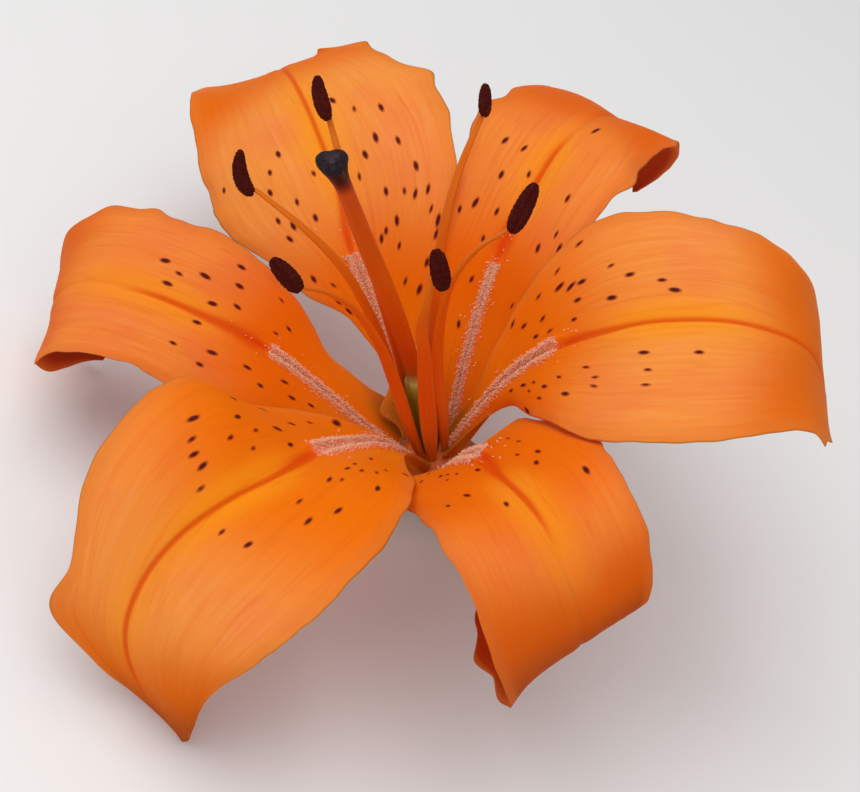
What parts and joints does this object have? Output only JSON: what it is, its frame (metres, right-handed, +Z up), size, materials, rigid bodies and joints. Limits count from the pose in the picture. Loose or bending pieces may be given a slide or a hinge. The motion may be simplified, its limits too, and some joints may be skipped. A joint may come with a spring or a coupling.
{
  "type": "tiger lily flower",
  "caption": "Open orange lily flower with rolled-back spotted tepals, long stamens, a pistil and a short cut stalk, lying on its stalk end and two tepal tips.",
  "frame": {"origin": "centre of the underside of the flower's bounding box, on the surface that it lies on", "axes": "+Z up from that surface, -Y towards the side that the open flower faces, +X to the right seen from there"},
  "size_m": [0.132, 0.1343, 0.0797],
  "materials": {
    "petal": "satin, waxy plant tissue",
    "sepal": "satin, waxy plant tissue",
    "filament": "smooth",
    "pollen": "dusty",
    "pistil": "smooth",
    "stalk": "matt"
  },
  "bodies": {
    "root": {"petal_back": "petal", "petal_right": "petal", "petal_front_left": "petal", "sepal_back_right": "sepal", "sepal_front": "sepal", "sepal_left": "sepal", "filament_back": "filament", "filament_back_right": "filament", "filament_right": "filament", "filament_front": "filament", "filament_front_left": "filament", "filament_left": "filament", "anther_back": "pollen", "anther_back_right": "pollen", "anther_right": "pollen", "anther_front": "pollen", "anther_front_left": "pollen", "anther_left": "pollen", "pistil": "pistil", "flower_stalk": "stalk"}
  },
  "joints": []
}
